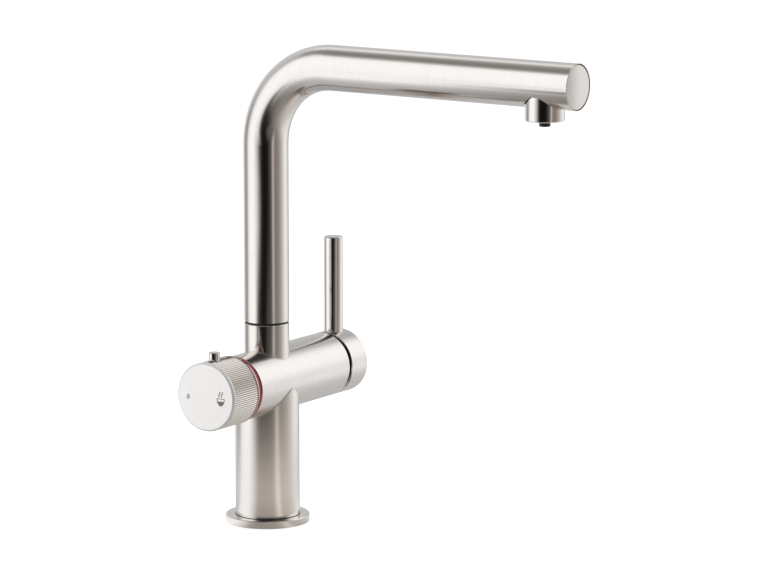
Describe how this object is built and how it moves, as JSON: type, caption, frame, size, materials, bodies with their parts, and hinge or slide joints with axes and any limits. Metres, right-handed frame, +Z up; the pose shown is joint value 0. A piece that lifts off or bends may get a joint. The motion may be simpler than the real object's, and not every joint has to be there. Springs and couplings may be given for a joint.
{
  "type": "boiling water tap",
  "caption": "Deck-standing kitchen mixer tap with a swivel L spout, a knurled boiling water knob with a safety button, a side lever and separate water ways.",
  "frame": {"origin": "centre of the base's underside, on the deck", "axes": "+Z up, the spout points along -Y, the knob is at -X and the lever at +X"},
  "size_m": [0.1695, 0.2855, 0.3455],
  "materials": {
    "brushed_nickel": "satin, brushed round",
    "polished_nickel": "polished",
    "brass": "machined",
    "copper": "drawn copper tube",
    "steel": "bright",
    "black_plastic": "matte",
    "white_plastic": "satin",
    "red_plastic": "gloss",
    "rubber": "matte",
    "ceramic": "ground smooth"
  },
  "bodies": {
    "body": {"base_ring": "brushed_nickel", "base_gasket": "rubber", "body_shell": "brushed_nickel", "inlet_manifold": "brass", "manifold_clip": "steel", "cold_riser": "copper", "hot_riser": "copper", "filtered_riser": "copper", "boiling_riser": "copper", "riser_o_rings": "rubber", "valve_core": "brass", "spout_spigot": "brass", "spigot_o_rings": "rubber", "tube_o_ring": "rubber", "lower_glide_ring": "black_plastic", "upper_glide_ring": "white_plastic", "spout_clip": "steel", "red_ring": "red_plastic", "selector_housing": "brass", "selector_nut": "brass", "selector_seal": "rubber", "selector_fixed_disc": "ceramic", "stop_ring": "black_plastic", "mixer_base": "white_plastic", "mixer_base_seals": "rubber", "mixer_fixed_disc": "ceramic", "mixer_housing": "white_plastic", "mixer_nut": "brass", "mixer_shroud": "black_plastic"},
    "spout": {"spout_pipe": "brushed_nickel", "spout_bush": "white_plastic", "end_cap": "brushed_nickel", "end_cap_seal": "black_plastic", "outlet_block": "white_plastic", "outlet_collar": "polished_nickel", "aerator": "white_plastic", "aerator_seal": "rubber", "boiling_nozzle": "black_plastic", "boiling_tube": "copper"},
    "knob": {"knob_sleeve": "brushed_nickel", "knob_cap": "brushed_nickel", "knob_hub": "black_plastic", "knob_screw": "steel", "selector_spindle": "brass", "spindle_o_ring": "rubber", "selector_moving_disc": "ceramic", "button_spring": "steel"},
    "button": {"safety_button": "polished_nickel"},
    "turret": {"mixer_turret": "white_plastic", "turret_o_ring": "rubber", "stem_pin": "steel"},
    "lever": {"lever_stem": "steel", "lever_hub": "brushed_nickel", "lever_rod": "polished_nickel", "lever_screw": "steel", "lever_plug": "black_plastic"},
    "disc": {"disc_carrier": "white_plastic", "mixer_moving_disc": "ceramic"}
  },
  "joints": [
    {"name": "spout_swivel", "type": "hinge", "parent": "body", "child": "spout", "pos_m": [0, 0, 0.16], "axis": [0, 0, 1], "range_deg": [-180, 180]},
    {"name": "knob_turn", "type": "hinge", "parent": "body", "child": "knob", "pos_m": [-0.0587, 0, 0.102], "axis": [1, 0, 0], "range_deg": [-90, 90]},
    {"name": "button_press", "type": "slide", "parent": "knob", "child": "button", "axis": [0, 0, -1], "range_m": [0, 0.004], "stiffness_N_per_m": 300, "springref_m": -0.003, "deforming": ["button_spring"]},
    {"name": "lever_turn", "type": "hinge", "parent": "body", "child": "turret", "pos_m": [0.054, 0, 0.102], "axis": [1, 0, 0], "range_deg": [-45, 45]},
    {"name": "lever_tilt", "type": "hinge", "parent": "turret", "child": "lever", "pos_m": [0.058, 0, 0.102], "axis": [0, 1, 0], "range_deg": [0, 12]},
    {"name": "disc_slide", "type": "slide", "parent": "turret", "child": "disc", "axis": [0, 0, 1], "range_m": [0, 0.0036]}
  ],
  "couplings": [
    {"joint": "disc_slide", "follows": "lever_tilt", "m_per_rad": 0.017}
  ]
}
